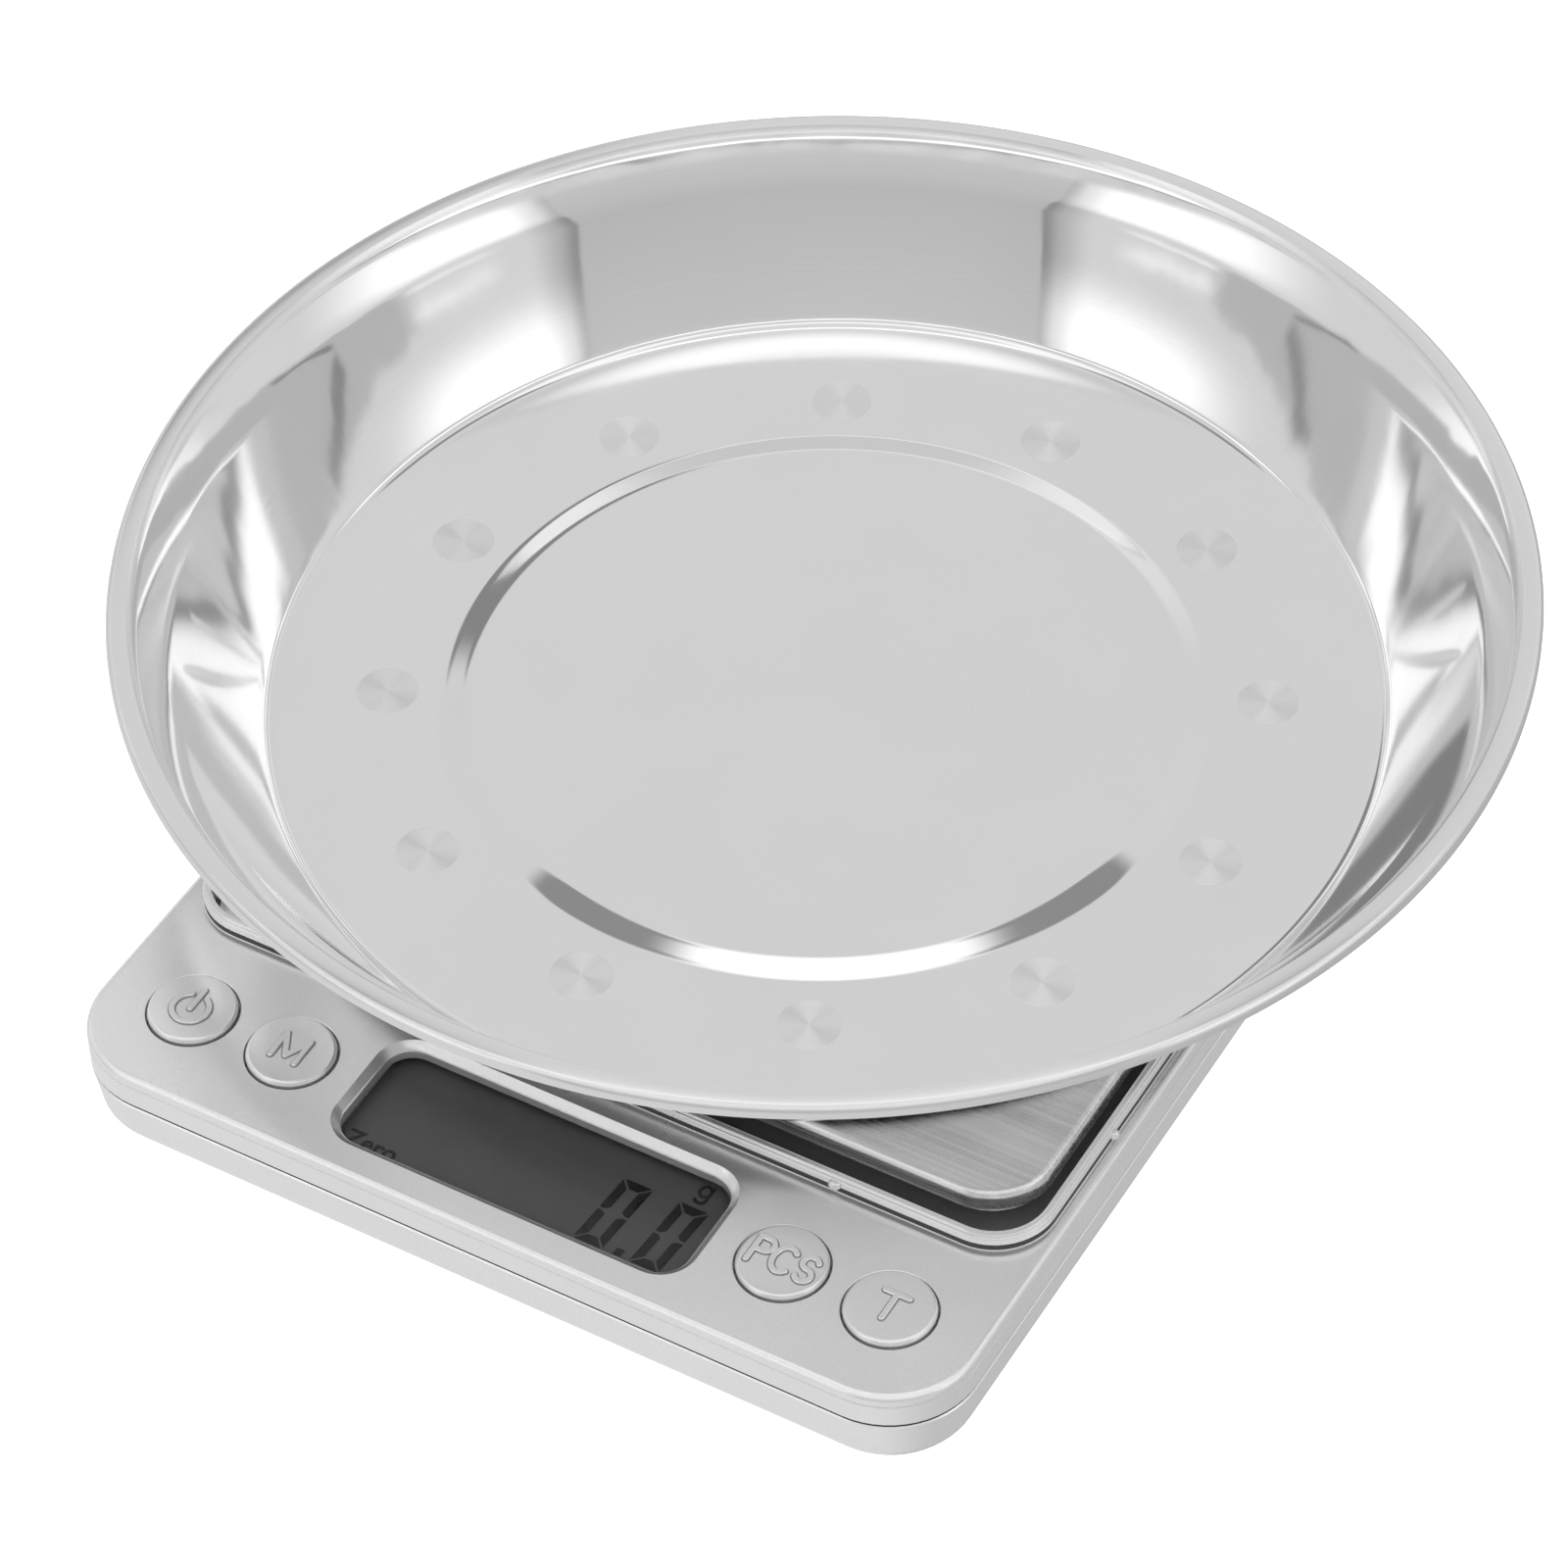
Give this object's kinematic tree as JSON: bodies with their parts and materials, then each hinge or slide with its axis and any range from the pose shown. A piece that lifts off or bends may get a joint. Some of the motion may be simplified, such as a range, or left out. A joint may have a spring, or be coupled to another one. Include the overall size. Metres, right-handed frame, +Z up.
{
  "type": "digital gram scale",
  "caption": "Low rectangular digital scale with a square steel platform, a backlit display, press buttons and a loose round polished steel pan.",
  "frame": {"origin": "on the table, under the middle of the whole object's box, which the pan's rim and the case's front edge set", "axes": "+X to the right along the row of buttons, +Y from the buttons towards the back, +Z up"},
  "size_m": [0.1542, 0.1568, 0.0374],
  "materials": {
    "silver_paint": "satin silver paint on moulded plastic, fine metallic grain",
    "black_plastic": "fine matt mould texture",
    "brushed_steel": "stainless sheet, straight brushed from side to side",
    "polished_steel": "mirror polished stainless sheet with faint polishing marks",
    "zinc_steel": "bright zinc or nickel plate",
    "aluminium": "plain milled",
    "rubber": "matt",
    "clear_plastic": "clear acrylic, gloss",
    "lcd_glass": "dark grey polariser over glass",
    "white_plastic": "white, matt",
    "circuit_green": "green solder mask on glass laminate",
    "battery_wrap": "plain printed film",
    "red_wire": "vinyl insulation",
    "black_wire": "vinyl insulation",
    "white_wire": "vinyl insulation"
  },
  "bodies": {
    "case": {"battery_lead_black": "black_wire", "battery_lead_red": "red_wire", "battery_left": "battery_wrap", "battery_link_contact": "zinc_steel", "battery_link_spring": "zinc_steel", "battery_negative_contact": "zinc_steel", "battery_negative_spring": "zinc_steel", "battery_positive_contact": "zinc_steel", "battery_right": "battery_wrap", "board_screw_left": "zinc_steel", "board_screw_right": "zinc_steel", "case_screw_front_left": "zinc_steel", "case_screw_front_right": "zinc_steel", "case_screw_rear_left": "zinc_steel", "case_screw_rear_right": "zinc_steel", "circuit_board": "circuit_green", "controller_chip": "black_plastic", "converter_chip": "black_plastic", "display_window": "clear_plastic", "foot_front_left": "rubber", "foot_front_right": "rubber", "foot_rear_left": "rubber", "foot_rear_right": "rubber", "lcd_backlight": "white_plastic", "lcd_connector_strip": "rubber", "lcd_panel": "lcd_glass", "load_cell": "aluminium", "load_cell_base_spacer": "zinc_steel", "load_cell_cable": "white_wire", "load_cell_screw_front": "zinc_steel", "load_cell_screw_rear": "zinc_steel", "lower_case": "silver_paint", "mode_switch": "black_plastic", "pieces_switch": "black_plastic", "power_switch": "black_plastic", "strain_gauge_cover_lower": "white_plastic", "strain_gauge_cover_upper": "white_plastic", "tare_switch": "black_plastic", "upper_case": "silver_paint"},
    "platform": {"platform_plate": "brushed_steel", "platform_carrier": "black_plastic", "load_cell_top_spacer": "zinc_steel", "platform_screw_front": "zinc_steel", "platform_screw_rear": "zinc_steel"},
    "pan": {"weighing_pan": "polished_steel"},
    "battery_door": {"battery_door": "silver_paint"},
    "power_button": {"power_button": "silver_paint", "power_switch_plunger": "black_plastic"},
    "mode_button": {"mode_button": "silver_paint", "mode_switch_plunger": "black_plastic"},
    "pieces_button": {"pieces_button": "silver_paint", "pieces_switch_plunger": "black_plastic"},
    "tare_button": {"tare_button": "silver_paint", "tare_switch_plunger": "black_plastic"}
  },
  "joints": [
    {"name": "power_press", "type": "slide", "parent": "case", "child": "power_button", "axis": [0, 0, -1], "range_m": [0, 0.0004], "stiffness_N_per_m": 4000},
    {"name": "mode_press", "type": "slide", "parent": "case", "child": "mode_button", "axis": [0, 0, -1], "range_m": [0, 0.0004], "stiffness_N_per_m": 4000},
    {"name": "pieces_press", "type": "slide", "parent": "case", "child": "pieces_button", "axis": [0, 0, -1], "range_m": [0, 0.0004], "stiffness_N_per_m": 4000},
    {"name": "tare_press", "type": "slide", "parent": "case", "child": "tare_button", "axis": [0, 0, -1], "range_m": [0, 0.0004], "stiffness_N_per_m": 4000},
    {"name": "platform_deflection", "type": "slide", "parent": "case", "child": "platform", "axis": [0, 0, -1], "range_m": [0, 0.00045], "stiffness_N_per_m": 73500},
    {"name": "pan_lift", "type": "slide", "parent": "platform", "child": "pan", "axis": [0, 0, 1], "range_m": [0, 0.06]},
    {"name": "battery_door_slide", "type": "slide", "parent": "case", "child": "battery_door", "axis": [0, 1, 0], "range_m": [0, 0.06]}
  ]
}
